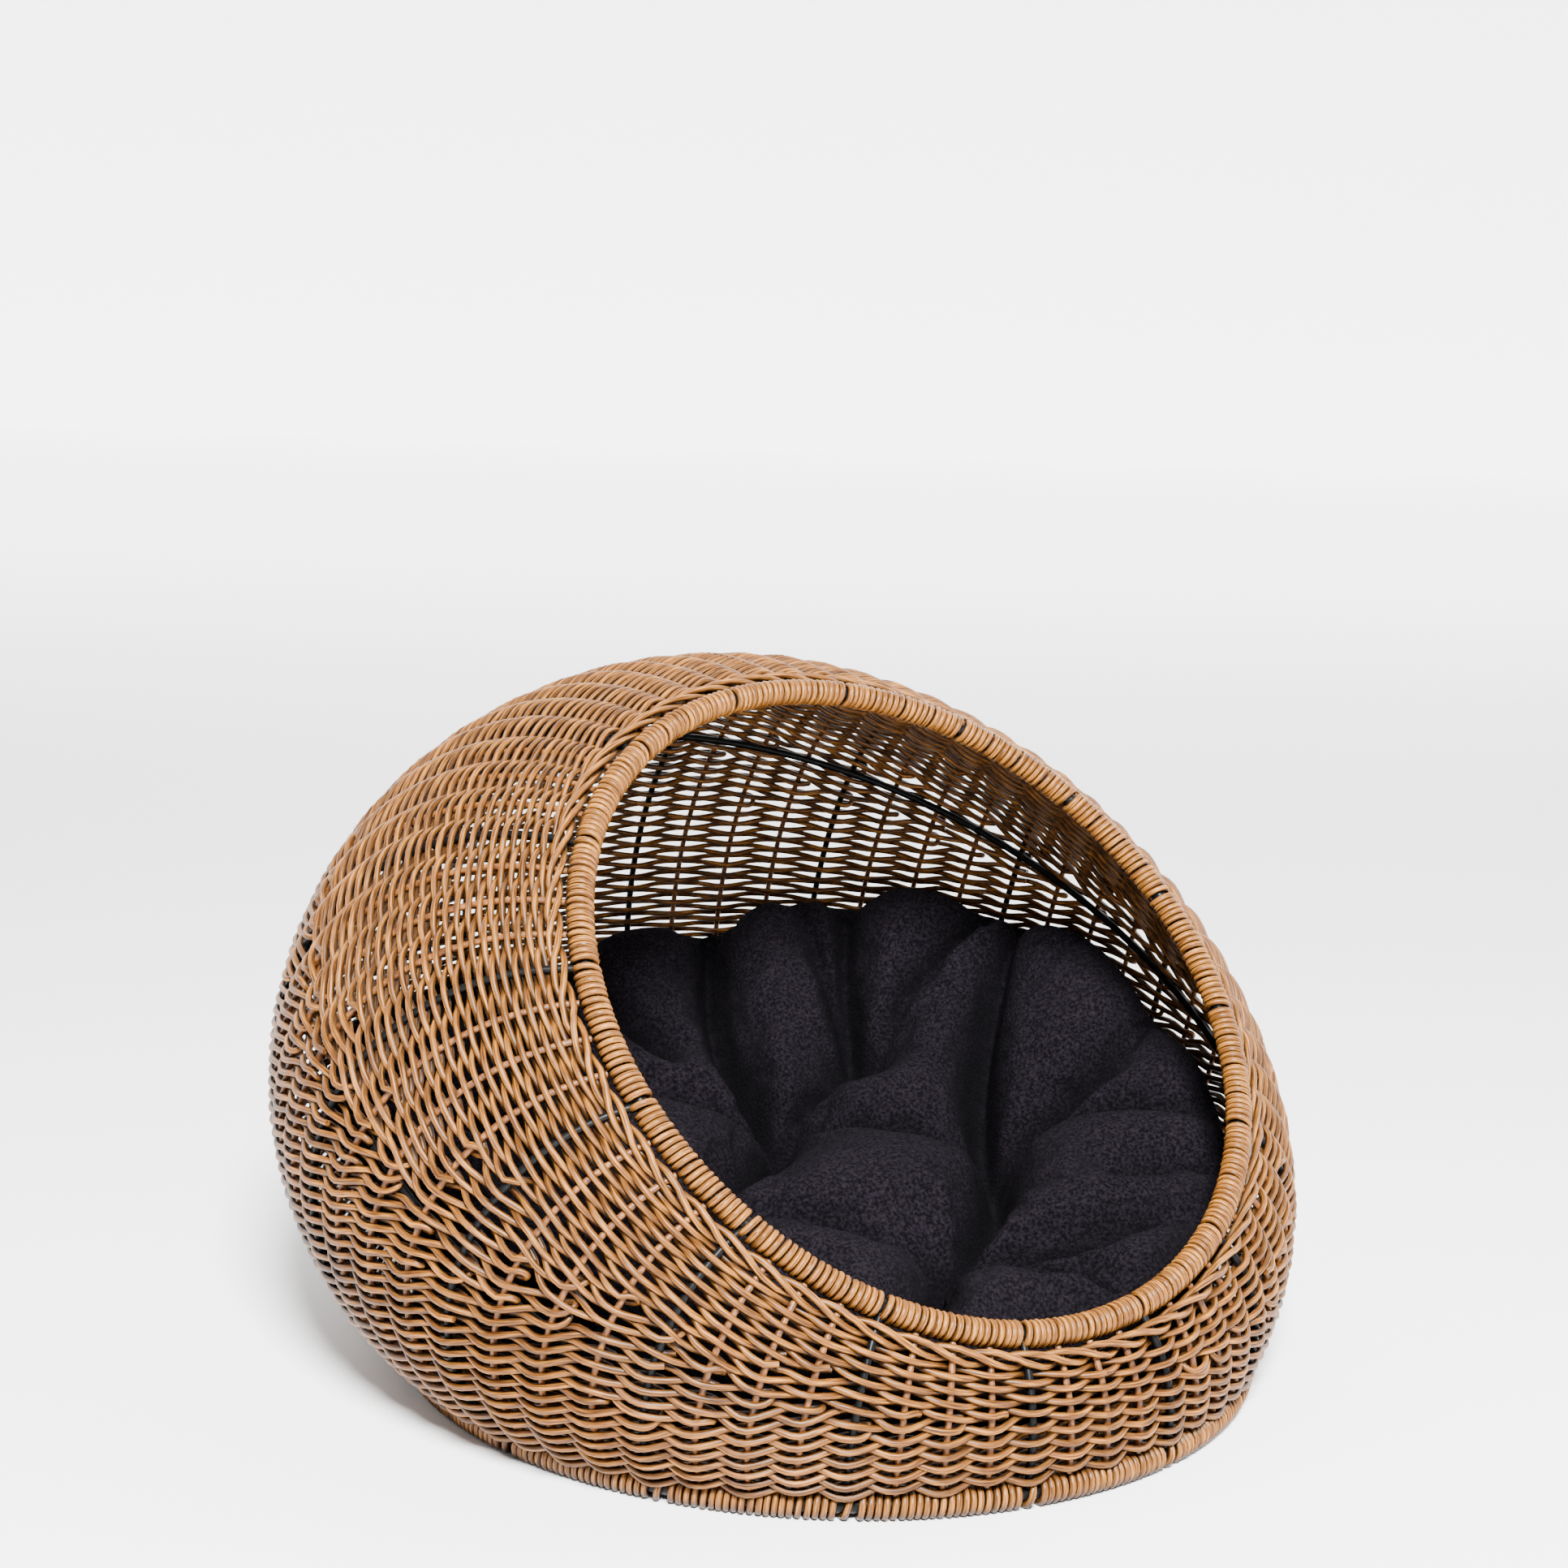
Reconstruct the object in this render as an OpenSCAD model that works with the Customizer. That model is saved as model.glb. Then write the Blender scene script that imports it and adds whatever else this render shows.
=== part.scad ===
// Wicker pet bed basket: a leaning, egg-shaped basket on a round base, with a
// round mouth that faces forwards and up, and a loose tufted cushion inside.
// X is left to right, -Y is the front, where the mouth looks, and +Z is up.
// The origin is on the ground, under the middle of the whole basket.
//
// Every stake of the wall is one circular arc through three round hoops: the
// base ring, the belly hoop and the rim ring. The angle `a` names a stake's
// place round all three, counted from the front.

/* [Hoops] */
// Diameter of the base ring's centre line
base_d = 410; // [380:5:440]
// Diameter of the wall at the belly hoop
belly_d = 506; // [480:2:530]
// Height of the belly hoop's centre
belly_height = 143; // [130:1:155]
// How far the belly hoop's centre is behind the base ring's
belly_back = 16; // [5:1:25]
// Backward lean of the belly hoop
belly_tilt = 31.5; // [28:0.5:34]
// Diameter of the rim ring's centre line
rim_d = 348; // [330:2:370]
// Height of the rim ring's centre
rim_height = 194; // [185:1:205]
// How far the rim ring's centre is ahead of the base ring's
rim_ahead = 67; // [55:1:75]
// Backward lean of the rim ring
rim_tilt = 46; // [42:1:50]
// How far the stakes rake round at the belly, in degrees
stake_rake = 7.5; // [0:0.5:9]
// How far the belly line rises above the hoop's plane at the front
front_rise = 26; // [20:1:32]
// How far the belly line comes forwards of the hoop at the front
front_swell = 6; // [3:1:9]

/* [Steel frame] */
// Diameter of the base and rim rods
ring_rod_d = 7; // [6:0.5:8]
// Diameter of the ribs and the floor bars
rib_d = 3.6; // [3:0.2:4]
// Diameter of the belly hoop's rod
hoop_d = 4; // [3:0.5:5]

/* [Wicker] */
// Diameter of one wicker strand
strand_d = 3; // [2.6:0.1:3.2]
// Width of the twisted border beside the rim
border_w = 9; // [6:0.5:12]
// Opening in the ring wraps at each rib
wrap_gap = 7.5; // [7:0.5:10]

/* [Cushion] */
// Height of the cushion's edge at the front
cushion_front_h = 50; // [46:1:54]
// Height of the cushion's edge at the back
cushion_back_h = 142; // [110:1:150]
// Radius of the cushion's rounded edges
cushion_round = 22; // [18:1:24]
// Thickness of the fleece cover
cover_t = 1.5; // [1:0.5:3]

/* [Hidden] */
$fn = 48;
rib_count = 16;
stakes_per_bay = 3;
stake_count = rib_count * (stakes_per_bay + 1);
stake_step = 360 / stake_count;
bay_step = 360 / rib_count;
first_rib = bay_step / 2;
clear = 0.25;
weld_gap = 0.05;
hoop_ease = 1;
wrap_ease = 1;
wall_ease = 0.9;

// The wrapped rings: the rod, and one turn of strand round it
wrap_r = ring_rod_d / 2 + strand_d;
// The wraps are worn flat underneath where the base stands
worn_flat = 0.3;
base_z = wrap_r - worn_flat;

// The woven wall: one strand thick, outside the ribs and stakes
wall_in = rib_d / 2 + wall_ease;
wall_out = wall_in + strand_d;
wall_foot = wrap_r + wrap_ease;
wall_facet = 8;
lower_bands = 4;
upper_bands = 3;
panel_gap = 0.08;

// The middle of the basket's depth, from the base ring's front to the back wall
front_y = -base_d / 2 - wrap_r;
back_arc = arc_through(180, 0);
back_y = back_arc[0].y + back_arc[4] + wall_out;
middle_y = (front_y + back_y) / 2;

// The floor: a woven disc on two crossed bars
bar_z = [base_z - rib_d / 2 - clear / 2, base_z + rib_d / 2 + clear / 2];
floor_z = bar_z[1] + rib_d / 2 + clear;
floor_r = base_d / 2 - wrap_r - wrap_ease;

// The cushion: edges that follow the wall, and the plane of its seam
cushion_z = floor_z + strand_d + clear;
cushion_clear = 8;
mouth_clear = 24;
foot_clear = 8;
cushion_sides = 20;
cushion_foot_r = base_d / 2 - cushion_round - foot_clear;
seam_slope = atan((cushion_back_h - cushion_front_h) / 2 / base_d);
seam_z = cushion_z + (cushion_front_h + cushion_back_h) / 4;
tie_d = 2;
tufts = [[38, 58], [104, 78], [112, -26], [10, -118], [-88, -28]];

rib_names = [for (i = [1:rib_count]) str("rib_", i < 10 ? "0" : "", i)];
stake_names = [for (i = [1:rib_count]) str("stakes_", i < 10 ? "0" : "", i)];

steel = [0.07, 0.07, 0.08];
cane = [0.74, 0.55, 0.35];
cane_light = [0.80, 0.61, 0.40];
cane_dark = [0.62, 0.44, 0.27];
fleece = [0.13, 0.12, 0.15];
wadding = [0.92, 0.92, 0.90];
thread = [0.20, 0.19, 0.22];

// ---- The three hoops and the arcs between them ----

// A point at angle a of a hoop that leans back by tilt, with y counted from the base ring
function hoop_point(a, centre, r, tilt) =
    centre + r * [sin(a), -cos(a) * cos(tilt), -cos(a) * sin(tilt)];

function base_point(a) = hoop_point(a, [0, 0, base_z], base_d / 2, 0);
function belly_angle(a) = a - stake_rake * sin(a) - stake_rake / 4 * sin(2 * a);
function front_part(t) = pow(max(0, cos(t)), 4);
function belly_point(a) =
    let (t = belly_angle(a))
    hoop_point(t, [0, belly_back, belly_height], belly_d / 2, belly_tilt)
    + front_part(t) * [0, -front_swell, front_rise];
function rim_point(a) = hoop_point(a, [0, -rim_ahead, rim_height], rim_d / 2, rim_tilt);

function unit(v) = v / norm(v);

// The stake's arc at angle a: [centre, start direction, direction at 90 degrees, axis, radius, sweep]
function arc_through(a, shift) =
    let (p = base_point(a), q = belly_point(a), r = rim_point(a),
         u = r - p, v = q - p, w = cross(u, v),
         c = p + (cross(w, u) * (v * v) + cross(v, w) * (u * u)) / (2 * w * w),
         x = unit(p - c), z = unit(cross(p - c, q - c)), y = cross(z, x),
         end = atan2((r - c) * y, (r - c) * x))
    [c - [0, shift, 0], x, y, z, norm(p - c), end < 0 ? end + 360 : end];
function stake_arc(a) = arc_through(a, middle_y);

// A point of an arc at t degrees from its foot, off mm outside its centre line
function arc_point(arc, t, off) =
    arc[0] + (arc[4] + off) * (cos(t) * arc[1] + sin(t) * arc[2]);
// Degrees along an arc for a length, and for a straight distance from its end
function arc_degrees(arc, length) = length / arc[4] * 180 / PI;
function trim_degrees(arc, reach) = 2 * asin(reach / 2 / arc[4]);
// Degrees from the foot to where the arc first reaches a height
function degrees_at(arc, height) =
    let (k = (height - arc[0].z) / arc[4] / norm([arc[1].z, arc[2].z]))
    atan2(arc[2].z, arc[1].z) - acos(max(-1, min(1, k)));

// Where the two directions of weaving meet, as a share of the arc
function seam_share(a) = 0.555 - 0.055 * cos(a);

function place(arc) =
    [[arc[1].x, arc[2].x, arc[3].x, arc[0].x],
     [arc[1].y, arc[2].y, arc[3].y, arc[0].y],
     [arc[1].z, arc[2].z, arc[3].z, arc[0].z],
     [0, 0, 0, 1]];

// A round rod along the stake's arc, cut short of both rings
module arc_rod(a, d, reach) {
    arc = stake_arc(a);
    trim = trim_degrees(arc, reach);
    multmatrix(place(arc))
        rotate([0, 0, trim])
            rotate_extrude(angle = arc[5] - 2 * trim)
                translate([arc[4], 0]) circle(d = d);
}

// A frame whose Z is a ring's axis and whose -Y is the ring's front
module at_base() translate([0, -middle_y, base_z]) children();
module at_rim()
    translate([0, -rim_ahead - middle_y, rim_height]) rotate([rim_tilt, 0, 0]) children();
module at_belly()
    translate([0, belly_back - middle_y, belly_height]) rotate([belly_tilt, 0, 0]) children();

// ---- Steel frame ----

module ring_rod(d) color(steel) rotate_extrude() translate([d / 2, 0]) circle(d = ring_rod_d);

module base_ring() at_base() ring_rod(base_d);
module rim_ring() at_rim() ring_rod(rim_d);

// The hoop lies inside the ribs, from the second rib on one side round the back to the other
module belly_hoop() {
    inset = (rib_d + hoop_d) / 2 + hoop_ease;
    end = belly_angle(first_rib + 2 * bay_step);
    color(steel) at_belly()
        rotate([0, 0, end - 90])
            rotate_extrude(angle = 360 - 2 * end)
                translate([belly_d / 2 - inset, 0]) circle(d = hoop_d);
}

module rib(i) color(steel)
    arc_rod(first_rib + i * bay_step, rib_d, ring_rod_d / 2 + weld_gap);

// The floor bars run between opposite ribs, one over the other
module floor_bar(a, z) {
    length = base_d - ring_rod_d - 4 * weld_gap;
    color(steel) translate([0, -middle_y, z])
        rotate([0, 0, a]) rotate([90, 0, 0]) cylinder(d = rib_d, h = length, center = true);
}
module floor_bar_left() floor_bar(-(first_rib + bay_step), bar_z[0]);
module floor_bar_right() floor_bar(first_rib + bay_step, bar_z[1]);

// ---- Wicker ----

// The three stakes of the bay that starts at rib i
module bay_stakes(i) color(cane_light)
    for (k = [1:stakes_per_bay])
        arc_rod(first_rib + i * bay_step + k * stake_step, strand_d, wrap_r + clear);

// One length of strand wound round a ring's rod in every bay, with the ribs between
module ring_wrap(d) {
    gap = wrap_gap / (d / 2) * 180 / PI;
    for (i = [0:rib_count - 1])
        rotate([0, 0, first_rib - 90 + i * bay_step + gap / 2])
            rotate_extrude(angle = bay_step - gap)
                translate([d / 2, 0])
                    difference() {
                        circle(r = wrap_r);
                        circle(r = ring_rod_d / 2 + weld_gap);
                    }
}
module base_wrap() color(cane) difference() {
    at_base() ring_wrap(base_d);
    translate([-base_d, -base_d, -2 * wrap_r]) cube([2 * base_d, 2 * base_d, 2 * wrap_r]);
}
module rim_wrap() color(cane) at_rim() ring_wrap(rim_d);

// A curved panel of the wall in bay i, as one closed skin round a grid of points.
// span(arc, a) gives its first and last degree along each stake's arc.
module wall_panel(i, rows, span) {
    cols = stakes_per_bay + 1;
    a0 = first_rib + i * bay_step;
    grid = [for (off = [wall_in, wall_out], k = [0:cols], j = [0:rows])
        let (inset = k == 0 ? panel_gap : k == cols ? -panel_gap : 0,
             a = a0 + k * stake_step + inset, arc = stake_arc(a), s = span(arc, a))
        arc_point(arc, s[0] + (s[1] - s[0]) * j / rows, off)];
    n = (cols + 1) * (rows + 1);
    function at(side, k, j) = side * n + k * (rows + 1) + j;
    function pair(p, q, r, s) = [[p, q, r], [p, r, s]];
    faces = [
        for (k = [0:cols - 1], j = [0:rows - 1]) each concat(
            pair(at(0, k, j), at(0, k + 1, j), at(0, k + 1, j + 1), at(0, k, j + 1)),
            pair(at(1, k, j), at(1, k, j + 1), at(1, k + 1, j + 1), at(1, k + 1, j))),
        for (j = [0:rows - 1]) each concat(
            pair(at(0, 0, j), at(0, 0, j + 1), at(1, 0, j + 1), at(1, 0, j)),
            pair(at(0, cols, j), at(1, cols, j), at(1, cols, j + 1), at(0, cols, j + 1))),
        for (k = [0:cols - 1]) each concat(
            pair(at(0, k, 0), at(1, k, 0), at(1, k + 1, 0), at(0, k + 1, 0)),
            pair(at(0, k, rows), at(0, k + 1, rows), at(1, k + 1, rows), at(1, k, rows)))];
    polyhedron(grid, faces, convexity = 4);
}

// The degrees where the foot, the seam, the border and the rim end of the wall are
function wall_marks(arc, a) =
    [arc_degrees(arc, wall_foot),
     arc[5] * seam_share(a),
     arc[5] - arc_degrees(arc, wall_foot + border_w),
     arc[5] - arc_degrees(arc, wall_foot)];

// Band b of n equal bands between two of the marks, with a hairline between bands
function band(arc, a, from, b, n) =
    let (m = wall_marks(arc, a), lo = m[from], step = (m[from + 1] - lo) / n,
         h = arc_degrees(arc, clear / 2))
    [lo + b * step + h, lo + (b + 1) * step - h];

module woven_zone(from, bands) {
    for (i = [0:rib_count - 1], b = [0:bands - 1]) {
        a = first_rib + (i + 0.5) * bay_step;
        s = band(stake_arc(a), a, from, b, bands);
        rows = max(1, ceil((s[1] - s[0]) / wall_facet));
        wall_panel(i, rows, function(arc, a) band(arc, a, from, b, bands));
    }
}
module lower_weave() color(cane) woven_zone(0, lower_bands);
module upper_weave() color(cane_light) woven_zone(1, upper_bands);
module rim_border() color(cane_dark) woven_zone(2, 1);

module floor_weave() color(cane)
    translate([0, -middle_y, floor_z]) cylinder(r = floor_r, h = strand_d);

// ---- Cushion ----

// The cushion is set back from the wall at the front, so that it lifts clear of the rim
function set_back(a) = mouth_clear * (1 + cos(a)) / 2;

// Middle of the rounded edge at angle a: it follows the wall at its own height
function cushion_edge(a) =
    let (height = cushion_front_h + (cushion_back_h - cushion_front_h) * (1 - cos(a)) / 2,
         arc = stake_arc(a),
         inset = cushion_round + cushion_clear + set_back(a),
         z = cushion_z + height - cushion_round,
         p = arc_point(arc, degrees_at(arc, z), 0),
         out = unit([p.x, p.y + middle_y, 0]))
    [p.x, p.y, z] - inset * out;

// The cushion's body, with edges of radius r round the same two loops
module cushion_body(r) hull()
    for (i = [0:cushion_sides - 1]) {
        a = i * 360 / cushion_sides;
        translate(cushion_edge(a)) sphere(r = r, $fn = 16);
        foot_r = cushion_foot_r - set_back(a);
        translate([foot_r * sin(a), -foot_r * cos(a) - middle_y, cushion_z + cushion_round])
            sphere(r = r, $fn = 16);
    }

// Everything above (side 1) or below (side -1) the seam
module seam_half(side)
    translate([0, -middle_y, seam_z]) rotate([seam_slope, 0, 0])
        translate([0, 0, side * (base_d + clear / 4)])
            cube([4 * base_d, 4 * base_d, 2 * base_d], center = true);

module cushion_cover(side) color(fleece)
    intersection() {
        difference() {
            cushion_body(cushion_round);
            cushion_body(cushion_round - cover_t);
        }
        seam_half(side);
    }
module cushion_top() cushion_cover(1);
module cushion_bottom() cushion_cover(-1);

module tie_holes(d, from, to)
    for (t = tufts) translate([t.x, t.y, from]) cylinder(d = d, h = to - from);

module cushion_filling() color(wadding)
    difference() {
        cushion_body(cushion_round - cover_t - clear);
        tie_holes(tie_d + 2 * clear, 0, cushion_z + 2 * cushion_back_h);
    }

// The ties pull the two covers together, so each ends just under the top cover
function cover_height(y) =
    let (front = cushion_edge(0), back = cushion_edge(180))
    front.z + (back.z - front.z) * (y - front.y) / (back.y - front.y) + cushion_round;
module tuft_ties() color(thread)
    for (t = tufts)
        translate([t.x, t.y, cushion_z + 2 * cover_t])
            cylinder(d = tie_d, h = cover_height(t.y) - cushion_z - 4 * cover_t - clear);

// ---- Nodes ----

base_ring();
rim_ring();
belly_hoop();
floor_bar_left();
floor_bar_right();
for (i = [0:rib_count - 1]) rib(i);
for (i = [0:rib_count - 1]) bay_stakes(i);
base_wrap();
rim_wrap();
lower_weave();
upper_weave();
rim_border();
floor_weave();
cushion_top();
cushion_bottom();
cushion_filling();
tuft_ties();
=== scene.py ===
"""The looks of the wicker pet bed basket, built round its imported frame.

Everything is in metres in the frame's own axes: +X right, -Y front, +Z up.
A place on the wall is a stake number u, counted from the front through the
right side to the back, and a length along that stake's arc from the base ring.
"""
import math
import random

import bpy
import numpy as np
from mathutils import Matrix, Vector
from mathutils.bvhtree import BVHTree


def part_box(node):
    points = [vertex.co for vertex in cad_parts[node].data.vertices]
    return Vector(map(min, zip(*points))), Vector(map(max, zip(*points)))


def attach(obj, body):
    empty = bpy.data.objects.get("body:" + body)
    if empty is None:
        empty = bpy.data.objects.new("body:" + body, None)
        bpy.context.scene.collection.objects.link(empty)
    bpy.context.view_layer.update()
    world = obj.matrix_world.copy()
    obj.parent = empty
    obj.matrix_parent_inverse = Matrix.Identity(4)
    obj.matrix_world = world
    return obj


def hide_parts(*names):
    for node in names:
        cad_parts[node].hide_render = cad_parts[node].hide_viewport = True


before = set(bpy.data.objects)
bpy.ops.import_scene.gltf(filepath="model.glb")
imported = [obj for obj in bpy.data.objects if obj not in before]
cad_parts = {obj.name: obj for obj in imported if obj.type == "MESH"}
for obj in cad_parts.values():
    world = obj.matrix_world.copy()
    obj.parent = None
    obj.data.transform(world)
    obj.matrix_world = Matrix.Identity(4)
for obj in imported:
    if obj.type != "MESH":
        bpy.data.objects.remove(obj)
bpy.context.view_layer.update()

# ---- Sizes ----

# Stakes all round, counting every fourth one, which is a steel rib
STAKES = 64
STAKES_PER_BAY = 4
FIRST_RIB = 2
BACK = STAKES // 2
STEP = 2 * math.pi / STAKES

STRAND_R = 0.00152
RIB_R = 0.0018
# From one row to the next, along a stake
FRONT_PITCH = 0.00275
BACK_PITCH = 0.00350
# The rows nearest the rim are this share closer together at the back, with this many rows more
SPREAD = 0.27
RIM_ROWS = 10
# From the ring to the first row, and the width of the border beside the rim
WALL_FOOT = 0.0075
BORDER_W = 0.009
# How far a row bows along the stake where it passes outside, in the lower and upper weave
LOW_SMILE = 0.0014
HIGH_SMILE = 0.0010
# The same for upper rows at the back, by length from the rim
BACK_BOW = ((0.02, 0.05, 0.065, 0.08, 0.10, 0.12, 0.16),
            (0, -0.0014, 0, 0.0012, 0, 0.0002, 0.0007))
# One turn of a ring's wrap, and its gaps at each rib of the rim, of the base, and at each stake
TURN_PITCH = 0.0032
RIM_GAP = 0.0026
BASE_GAP = 0.0055
NOTCH = 0.0009

TUBE_SIDES = 8
ROW_SAMPLES = 6
# Share by which rows close up, half a stake on, over a pair that has turned back
CLOSING = 0.55
# How far a U-turn reaches past its stake, and how much it swells there
TURN_REACH = 0.0066
TURN_SWELL = 0.0012
TURN_SAMPLES = 13
# Share of the short pairs that end in two cut tails instead of a U-turn
CUT_SHARE = 0.16
# Two more points of a cut tail: how far past its last stake, in stakes, and share of its depth
TAIL_REACH = np.array((0.12, 0.26))
TAIL_DEPTH = np.array((0.95, 0.8))
# Spread of the small random shifts of rows, of a wrap's turns and of the border
ROW_WANDER = 0.00012
WRAP_WANDER = 0.00008
BORDER_WANDER = 0.0001
# Spread of the share by which strands differ in radius, and rows in depth
STRAND_WANDER = 0.03
# Most rings of points in one piece of the weave
PIECE_TUBES = 9000
WRAP_SAMPLES = 14
# The border's strand every half stake, over three stakes: its depth, and its length from the rim
BORDER_DEPTH = np.array((-3.0, 0.2, 3.2, 4.3, 3.4, 0.2, -3.0)) / 1000
BORDER_REACH = np.array((12.0, 9.6, 9.3, 11.0, 14.0, 15.2, 12.0)) / 1000
# The floor's stakes and rows, and how far its rows go up and down
FLOOR_SPACING = 0.012
FLOOR_PITCH = 0.0034
FLOOR_WAVE = 0.0008 * 2.4


def ring_in(node, rod_r):
    """Centre, radius and backward lean of a ring, from its node's box."""
    low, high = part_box(node)
    half = (high - low) / 2
    lean = math.atan2(half.z - rod_r, half.y - rod_r)
    return np.array((low + high) / 2), half.x - rod_r, lean


base_low, base_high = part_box("base_ring")
ROD_R = (base_high.z - base_low.z) / 2
BASE_C, BASE_R, BASE_LEAN = ring_in("base_ring", ROD_R)
RIM_C, RIM_R, RIM_LEAN = ring_in("rim_ring", ROD_R)
# The belly hoop's own circle, the rake of the stakes there, and the bulge of the front
BELLY_C = BASE_C + np.array((0.0, 0.016, 0.1368))
BELLY_R = 0.253
BELLY_LEAN = math.radians(31.5)
RAKE = math.radians(7.5)
FRONT_RISE = np.array((0.0, -0.006, 0.026))

CUSHION_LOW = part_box("cushion_bottom")[0].z
CUSHION_ROUND = 0.022
# Clear of the wall, and further in at the front, where the rim is; LIFT is the joint's travel
WALL_CLEAR = 0.008
MOUTH_CLEAR = 0.024
LIFT = 0.035
FOOT_R = BASE_R - CUSHION_ROUND - 0.008
CUSHION_MID = 0.080
# Points round the first shape, its rows over the top, round the edge and underneath, and the
# direction from the edge's middle to where the top starts
CUSHION_TURNS = 180
TOP_ROWS, EDGE_ROWS, UNDER_ROWS = 56, 34, 10
EDGE_START = math.radians(125)
CUSHION_GRID = 0.0052
# The farthest the cloth simulation may move a point, and its frames
CLOTH_REACH = 0.018
CLOTH_FRAMES = 20
# Height of the swellings, depth and width of the tufts, gain of the creases' depths below
PUFF = 0.016
TUFT_DEPTH = 0.042
TUFT_WIDTH = 0.019
CREASE_GAIN = 1.4
# How much deeper the bottoms of creases and tufts are cut in after the simulation, and how wide
CARVE = 0.015
CARVE_WIDTH = 0.0048
CARVE_TUFT = 0.010
# The closest the finished surface comes to the wall's middle, and to the rim ring's
NEAR_WALL = WALL_CLEAR - 0.002
NEAR_RIM = ROD_R + 2 * STRAND_R + 0.002
# Height of the cushion's edge every 30 degrees, from the front through the right side
EDGE_TOP = np.array((66, 72, 88, 130, 171, 160, 137, 135, 128, 112, 84, 70)) / 1000
TUFTS = np.array(((38, 58), (104, 78), (112, -26), (10, -118), (-88, -28))) / 1000
# From a tuft to the edge: tuft, degrees, bend, depth at the tuft, depth at the edge, width
EDGE_CREASES = (
    (0, 160, 0.07, 0.024, 0.019, 0.010), (0, 206, 0.05, 0.024, 0.010, 0.009),
    (1, 142, 0.03, 0.032, 0.012, 0.008), (1, 149, -0.05, 0.026, 0.003, 0.008),
    (2, 118, 0.08, 0.034, 0.014, 0.010), (2, 92, -0.08, 0.020, 0.006, 0.008),
    (2, 72, 0.06, 0.018, 0.004, 0.008), (3, 20, 0.05, 0.024, 0.014, 0.007),
    (3, 47, -0.06, 0.020, 0.008, 0.007), (3, 336, 0.04, 0.020, 0.008, 0.008),
    (4, 226, 0.05, 0.024, 0.014, 0.010), (4, 264, -0.05, 0.026, 0.014, 0.009),
    (4, 304, 0.05, 0.024, 0.010, 0.009),
)
# From a tuft to another: both tufts, bend, depths at both, width
TUFT_CREASES = (
    (0, 2, -0.16, 0.024, 0.024, 0.009), (0, 4, 0.10, 0.022, 0.018, 0.010),
    (2, 3, 0.10, 0.026, 0.020, 0.009), (4, 3, -0.10, 0.016, 0.020, 0.010),
    (0, 1, 0.05, 0.016, 0.014, 0.009),
)
# On the rolled edge only: start degrees, start share, end degrees, bend, depths, width
LOOSE_CREASES = (
    (136, 0.60, 123, 0.10, 0.008, 0.015, 0.008), (176, 0.68, 181, 0.05, 0.010, 0.008, 0.009),
    (58, 0.78, 62, 0.03, 0.006, 0.010, 0.007), (244, 0.72, 245, 0.03, 0.006, 0.014, 0.009),
    (284, 0.75, 285, 0.03, 0.006, 0.012, 0.008), (320, 0.78, 321, 0.03, 0.005, 0.009, 0.008),
)

# ---- The wall's arcs ----


def dot(p, q):
    return np.sum(p * q, axis=-1, keepdims=True)


def unit(v):
    return v / np.linalg.norm(v, axis=-1, keepdims=True)


def hoop(a, centre, r, lean):
    """Points at angles a of a hoop that leans back."""
    way = np.stack([np.sin(a), -np.cos(a) * math.cos(lean), -np.cos(a) * math.sin(lean)], -1)
    return centre + r * way


def arcs(u):
    """The wall's arcs at stake numbers u: centre, two directions, radius, length."""
    a = np.asarray(u, float) * STEP
    t = a - RAKE * np.sin(a) - RAKE / 4 * np.sin(2 * a)
    rise = np.clip(np.cos(t), 0, None)[..., None] ** 4 * FRONT_RISE
    p = hoop(a, BASE_C, BASE_R, BASE_LEAN)
    q = hoop(t, BELLY_C, BELLY_R, BELLY_LEAN) + rise
    r = hoop(a, RIM_C, RIM_R, RIM_LEAN)
    # the circle through the base ring's p, the belly hoop's q and the rim ring's r
    across, part = r - p, q - p
    w = np.cross(across, part)
    c = p + (np.cross(w, across) * dot(part, part)
             + np.cross(part, w) * dot(across, across)) / (2 * dot(w, w))
    x = unit(p - c)
    y = np.cross(unit(np.cross(p - c, q - c)), x)
    radius = np.linalg.norm(p - c, axis=-1)
    sweep = np.arctan2(dot(r - c, y), dot(r - c, x))[..., 0] % (2 * math.pi)
    return c, x, y, radius, radius * sweep


def wall(u, s, off, from_rim=False):
    """Points of the wall and the stakes' own direction there."""
    c, x, y, radius, length = arcs(u)
    s = length - s if from_rim else s
    t = (s / radius)[:, None]
    out = np.cos(t) * x + np.sin(t) * y
    along = np.cos(t) * y - np.sin(t) * x
    return c + (radius + off)[:, None] * out, along


def stake_radius(k):
    return RIB_R if k % STAKES_PER_BAY == FIRST_RIB else STRAND_R


# How far a strand's middle is from the wall's middle where it passes each stake
PASS = np.array([stake_radius(k) + STRAND_R for k in range(STAKES)])
LENGTH = arcs(np.arange(STAKES))[4]
SEAM = 0.555 - 0.055 * np.cos(np.arange(STAKES) * STEP)


def pass_depth(u):
    return np.interp(u % STAKES, np.arange(STAKES + 1), np.append(PASS, PASS[0]))


# ---- Rows of weaving ----


def even(n):
    return 2 * int(round(n / 2))


TO_BACK = (1 - np.cos(np.arange(STAKES) * STEP)) / 2
PITCH = FRONT_PITCH + (BACK_PITCH - FRONT_PITCH) * TO_BACK
LOW_ROWS = (LENGTH * SEAM - WALL_FOOT) / PITCH
# The rows next to the rim are closer together at the back, which makes room for more of them
MORE_ROWS = RIM_ROWS * TO_BACK ** 2
HIGH_ROWS = (LENGTH * (1 - SEAM) - WALL_FOOT - BORDER_W) / PITCH + MORE_ROWS
N_LOW, N_HIGH = even(LOW_ROWS[BACK]), even(HIGH_ROWS[BACK])
FULL_LOW, FULL_HIGH = even(LOW_ROWS[0]), even(HIGH_ROWS[0])


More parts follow.
